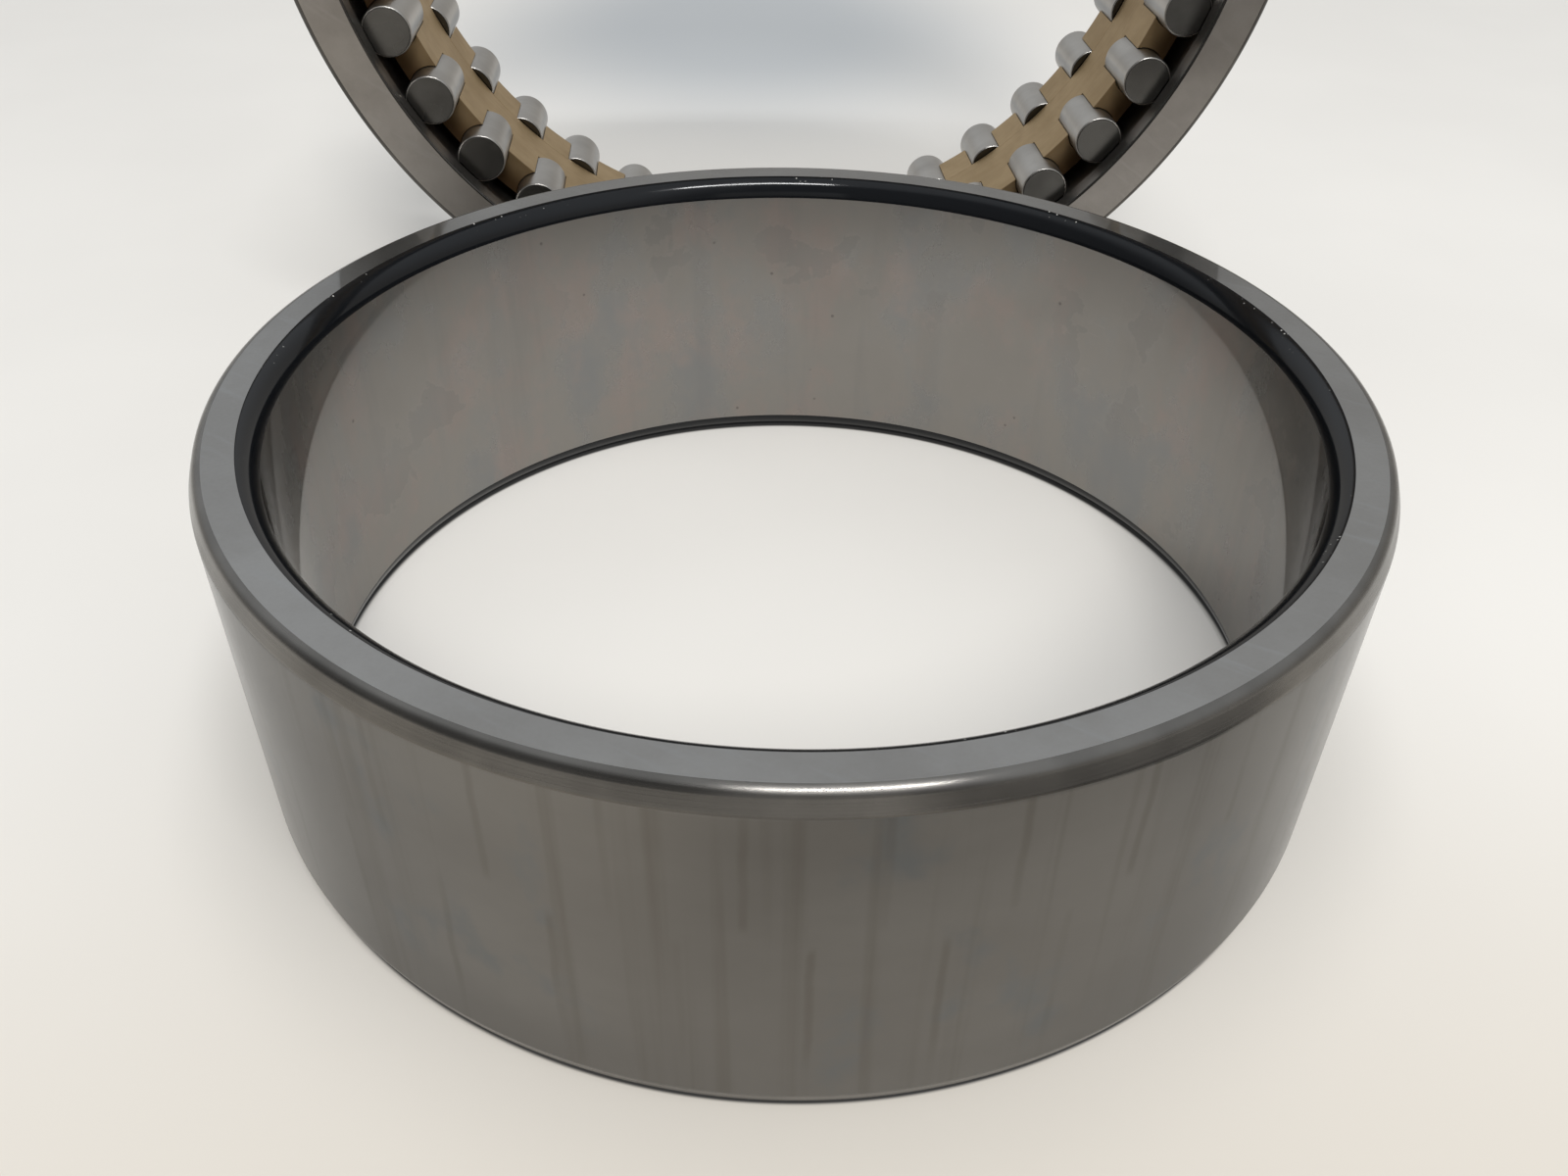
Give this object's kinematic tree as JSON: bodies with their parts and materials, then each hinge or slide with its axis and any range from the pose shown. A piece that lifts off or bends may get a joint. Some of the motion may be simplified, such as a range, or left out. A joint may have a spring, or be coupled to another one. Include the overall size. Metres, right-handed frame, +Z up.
{
  "type": "cylindrical roller bearing",
  "caption": "Double-row cylindrical roller bearing: flanged outer ring with brass comb cage and rollers standing upright, plain inner ring taken out and laid flat in front.",
  "frame": {"origin": "bottom centre of the bounding box, on the floor that both rings stand on", "axes": "+Z up, along the laid inner ring's own axis; +Y along the upright outer ring's axis, away from the laid inner ring"},
  "size_m": [0.15, 0.1844, 0.15],
  "materials": {
    "ring_steel": "finely ground hardened bearing steel",
    "roller_steel": "lapped hardened bearing steel",
    "cage_brass": "matt machined brass"
  },
  "bodies": {
    "outer_ring": {"outer_ring": "ring_steel"},
    "cage": {"cage": "cage_brass"},
    "roller_01": {"roller_01": "roller_steel"},
    "roller_02": {"roller_02": "roller_steel"},
    "roller_03": {"roller_03": "roller_steel"},
    "roller_04": {"roller_04": "roller_steel"},
    "roller_05": {"roller_05": "roller_steel"},
    "roller_06": {"roller_06": "roller_steel"},
    "roller_07": {"roller_07": "roller_steel"},
    "roller_08": {"roller_08": "roller_steel"},
    "roller_09": {"roller_09": "roller_steel"},
    "roller_10": {"roller_10": "roller_steel"},
    "roller_11": {"roller_11": "roller_steel"},
    "roller_12": {"roller_12": "roller_steel"},
    "roller_13": {"roller_13": "roller_steel"},
    "roller_14": {"roller_14": "roller_steel"},
    "roller_15": {"roller_15": "roller_steel"},
    "roller_16": {"roller_16": "roller_steel"},
    "roller_17": {"roller_17": "roller_steel"},
    "roller_18": {"roller_18": "roller_steel"},
    "roller_19": {"roller_19": "roller_steel"},
    "roller_20": {"roller_20": "roller_steel"},
    "roller_21": {"roller_21": "roller_steel"},
    "roller_22": {"roller_22": "roller_steel"},
    "roller_23": {"roller_23": "roller_steel"},
    "roller_24": {"roller_24": "roller_steel"},
    "roller_25": {"roller_25": "roller_steel"},
    "roller_26": {"roller_26": "roller_steel"},
    "roller_27": {"roller_27": "roller_steel"},
    "roller_28": {"roller_28": "roller_steel"},
    "roller_29": {"roller_29": "roller_steel"},
    "roller_30": {"roller_30": "roller_steel"},
    "roller_31": {"roller_31": "roller_steel"},
    "roller_32": {"roller_32": "roller_steel"},
    "roller_33": {"roller_33": "roller_steel"},
    "roller_34": {"roller_34": "roller_steel"},
    "roller_35": {"roller_35": "roller_steel"},
    "roller_36": {"roller_36": "roller_steel"},
    "inner_ring": {"inner_ring": "ring_steel"}
  },
  "joints": [
    {"name": "cage_turn", "type": "hinge", "parent": "outer_ring", "child": "cage", "pos_m": [0, 0.0722, 0.075], "axis": [0, 1, 0], "continuous": true},
    {"name": "roller_01_spin", "type": "hinge", "parent": "cage", "child": "roller_01", "pos_m": [0.04289, 0.0618, 0.02583], "axis": [0, 1, 0], "continuous": true},
    {"name": "roller_02_spin", "type": "hinge", "parent": "cage", "child": "roller_02", "pos_m": [0.05078, 0.0618, 0.03403], "axis": [0, 1, 0], "continuous": true},
    {"name": "roller_03_spin", "type": "hinge", "parent": "cage", "child": "roller_03", "pos_m": [0.05712, 0.0618, 0.04347], "axis": [0, 1, 0], "continuous": true},
    {"name": "roller_04_spin", "type": "hinge", "parent": "cage", "child": "roller_04", "pos_m": [0.06173, 0.0618, 0.05386], "axis": [0, 1, 0], "continuous": true},
    {"name": "roller_05_spin", "type": "hinge", "parent": "cage", "child": "roller_05", "pos_m": [0.06446, 0.0618, 0.06491], "axis": [0, 1, 0], "continuous": true},
    {"name": "roller_06_spin", "type": "hinge", "parent": "cage", "child": "roller_06", "pos_m": [0.06524, 0.0618, 0.07625], "axis": [0, 1, 0], "continuous": true},
    {"name": "roller_07_spin", "type": "hinge", "parent": "cage", "child": "roller_07", "pos_m": [0.06403, 0.0618, 0.08756], "axis": [0, 1, 0], "continuous": true},
    {"name": "roller_08_spin", "type": "hinge", "parent": "cage", "child": "roller_08", "pos_m": [0.06088, 0.0618, 0.09849], "axis": [0, 1, 0], "continuous": true},
    {"name": "roller_09_spin", "type": "hinge", "parent": "cage", "child": "roller_09", "pos_m": [0.05587, 0.0618, 0.1087], "axis": [0, 1, 0], "continuous": true},
    {"name": "roller_10_spin", "type": "hinge", "parent": "cage", "child": "roller_10", "pos_m": [0.04917, 0.0618, 0.11789], "axis": [0, 1, 0], "continuous": true},
    {"name": "roller_11_spin", "type": "hinge", "parent": "cage", "child": "roller_11", "pos_m": [0.04097, 0.0618, 0.12578], "axis": [0, 1, 0], "continuous": true},
    {"name": "roller_12_spin", "type": "hinge", "parent": "cage", "child": "roller_12", "pos_m": [0.03153, 0.0618, 0.13212], "axis": [0, 1, 0], "continuous": true},
    {"name": "roller_13_spin", "type": "hinge", "parent": "cage", "child": "roller_13", "pos_m": [0.02114, 0.0618, 0.13673], "axis": [0, 1, 0], "continuous": true},
    {"name": "roller_14_spin", "type": "hinge", "parent": "cage", "child": "roller_14", "pos_m": [0.01009, 0.0618, 0.13946], "axis": [0, 1, 0], "continuous": true},
    {"name": "roller_15_spin", "type": "hinge", "parent": "cage", "child": "roller_15", "pos_m": [-0.00125, 0.0618, 0.14024], "axis": [0, 1, 0], "continuous": true},
    {"name": "roller_16_spin", "type": "hinge", "parent": "cage", "child": "roller_16", "pos_m": [-0.01256, 0.0618, 0.13903], "axis": [0, 1, 0], "continuous": true},
    {"name": "roller_17_spin", "type": "hinge", "parent": "cage", "child": "roller_17", "pos_m": [-0.02349, 0.0618, 0.13588], "axis": [0, 1, 0], "continuous": true},
    {"name": "roller_18_spin", "type": "hinge", "parent": "cage", "child": "roller_18", "pos_m": [-0.0337, 0.0618, 0.13087], "axis": [0, 1, 0], "continuous": true},
    {"name": "roller_19_spin", "type": "hinge", "parent": "cage", "child": "roller_19", "pos_m": [-0.04289, 0.0618, 0.12417], "axis": [0, 1, 0], "continuous": true},
    {"name": "roller_20_spin", "type": "hinge", "parent": "cage", "child": "roller_20", "pos_m": [-0.05078, 0.0618, 0.11597], "axis": [0, 1, 0], "continuous": true},
    {"name": "roller_21_spin", "type": "hinge", "parent": "cage", "child": "roller_21", "pos_m": [-0.05712, 0.0618, 0.10653], "axis": [0, 1, 0], "continuous": true},
    {"name": "roller_22_spin", "type": "hinge", "parent": "cage", "child": "roller_22", "pos_m": [-0.06173, 0.0618, 0.09614], "axis": [0, 1, 0], "continuous": true},
    {"name": "roller_23_spin", "type": "hinge", "parent": "cage", "child": "roller_23", "pos_m": [-0.06446, 0.0618, 0.08509], "axis": [0, 1, 0], "continuous": true},
    {"name": "roller_24_spin", "type": "hinge", "parent": "cage", "child": "roller_24", "pos_m": [-0.06524, 0.0618, 0.07375], "axis": [0, 1, 0], "continuous": true},
    {"name": "roller_25_spin", "type": "hinge", "parent": "cage", "child": "roller_25", "pos_m": [-0.06403, 0.0618, 0.06244], "axis": [0, 1, 0], "continuous": true},
    {"name": "roller_26_spin", "type": "hinge", "parent": "cage", "child": "roller_26", "pos_m": [-0.06088, 0.0618, 0.05151], "axis": [0, 1, 0], "continuous": true},
    {"name": "roller_27_spin", "type": "hinge", "parent": "cage", "child": "roller_27", "pos_m": [-0.05587, 0.0618, 0.0413], "axis": [0, 1, 0], "continuous": true},
    {"name": "roller_28_spin", "type": "hinge", "parent": "cage", "child": "roller_28", "pos_m": [-0.04917, 0.0618, 0.03211], "axis": [0, 1, 0], "continuous": true},
    {"name": "roller_29_spin", "type": "hinge", "parent": "cage", "child": "roller_29", "pos_m": [-0.04097, 0.0618, 0.02422], "axis": [0, 1, 0], "continuous": true},
    {"name": "roller_30_spin", "type": "hinge", "parent": "cage", "child": "roller_30", "pos_m": [-0.03153, 0.0618, 0.01788], "axis": [0, 1, 0], "continuous": true},
    {"name": "roller_31_spin", "type": "hinge", "parent": "cage", "child": "roller_31", "pos_m": [-0.02114, 0.0618, 0.01327], "axis": [0, 1, 0], "continuous": true},
    {"name": "roller_32_spin", "type": "hinge", "parent": "cage", "child": "roller_32", "pos_m": [-0.01009, 0.0618, 0.01054], "axis": [0, 1, 0], "continuous": true},
    {"name": "roller_33_spin", "type": "hinge", "parent": "cage", "child": "roller_33", "pos_m": [0.00125, 0.0618, 0.00976], "axis": [0, 1, 0], "continuous": true},
    {"name": "roller_34_spin", "type": "hinge", "parent": "cage", "child": "roller_34", "pos_m": [0.01256, 0.0618, 0.01097], "axis": [0, 1, 0], "continuous": true},
    {"name": "roller_35_spin", "type": "hinge", "parent": "cage", "child": "roller_35", "pos_m": [0.02349, 0.0618, 0.01412], "axis": [0, 1, 0], "continuous": true},
    {"name": "roller_36_spin", "type": "hinge", "parent": "cage", "child": "roller_36", "pos_m": [0.0337, 0.0618, 0.01913], "axis": [0, 1, 0], "continuous": true},
    {"name": "inner_ring_turn", "type": "hinge", "parent": "outer_ring", "child": "inner_ring", "pos_m": [-0.0052, -0.0307, 0.02], "axis": [0, 0, 1], "continuous": true}
  ],
  "couplings": [
    {"joint": "roller_01_spin", "follows": "cage_turn", "ratio": -18.4},
    {"joint": "roller_02_spin", "follows": "cage_turn", "ratio": -18.4},
    {"joint": "roller_03_spin", "follows": "cage_turn", "ratio": -18.4},
    {"joint": "roller_04_spin", "follows": "cage_turn", "ratio": -18.4},
    {"joint": "roller_05_spin", "follows": "cage_turn", "ratio": -18.4},
    {"joint": "roller_06_spin", "follows": "cage_turn", "ratio": -18.4},
    {"joint": "roller_07_spin", "follows": "cage_turn", "ratio": -18.4},
    {"joint": "roller_08_spin", "follows": "cage_turn", "ratio": -18.4},
    {"joint": "roller_09_spin", "follows": "cage_turn", "ratio": -18.4},
    {"joint": "roller_10_spin", "follows": "cage_turn", "ratio": -18.4},
    {"joint": "roller_11_spin", "follows": "cage_turn", "ratio": -18.4},
    {"joint": "roller_12_spin", "follows": "cage_turn", "ratio": -18.4},
    {"joint": "roller_13_spin", "follows": "cage_turn", "ratio": -18.4},
    {"joint": "roller_14_spin", "follows": "cage_turn", "ratio": -18.4},
    {"joint": "roller_15_spin", "follows": "cage_turn", "ratio": -18.4},
    {"joint": "roller_16_spin", "follows": "cage_turn", "ratio": -18.4},
    {"joint": "roller_17_spin", "follows": "cage_turn", "ratio": -18.4},
    {"joint": "roller_18_spin", "follows": "cage_turn", "ratio": -18.4},
    {"joint": "roller_19_spin", "follows": "cage_turn", "ratio": -18.4},
    {"joint": "roller_20_spin", "follows": "cage_turn", "ratio": -18.4},
    {"joint": "roller_21_spin", "follows": "cage_turn", "ratio": -18.4},
    {"joint": "roller_22_spin", "follows": "cage_turn", "ratio": -18.4},
    {"joint": "roller_23_spin", "follows": "cage_turn", "ratio": -18.4},
    {"joint": "roller_24_spin", "follows": "cage_turn", "ratio": -18.4},
    {"joint": "roller_25_spin", "follows": "cage_turn", "ratio": -18.4},
    {"joint": "roller_26_spin", "follows": "cage_turn", "ratio": -18.4},
    {"joint": "roller_27_spin", "follows": "cage_turn", "ratio": -18.4},
    {"joint": "roller_28_spin", "follows": "cage_turn", "ratio": -18.4},
    {"joint": "roller_29_spin", "follows": "cage_turn", "ratio": -18.4},
    {"joint": "roller_30_spin", "follows": "cage_turn", "ratio": -18.4},
    {"joint": "roller_31_spin", "follows": "cage_turn", "ratio": -18.4},
    {"joint": "roller_32_spin", "follows": "cage_turn", "ratio": -18.4},
    {"joint": "roller_33_spin", "follows": "cage_turn", "ratio": -18.4},
    {"joint": "roller_34_spin", "follows": "cage_turn", "ratio": -18.4},
    {"joint": "roller_35_spin", "follows": "cage_turn", "ratio": -18.4},
    {"joint": "roller_36_spin", "follows": "cage_turn", "ratio": -18.4}
  ]
}
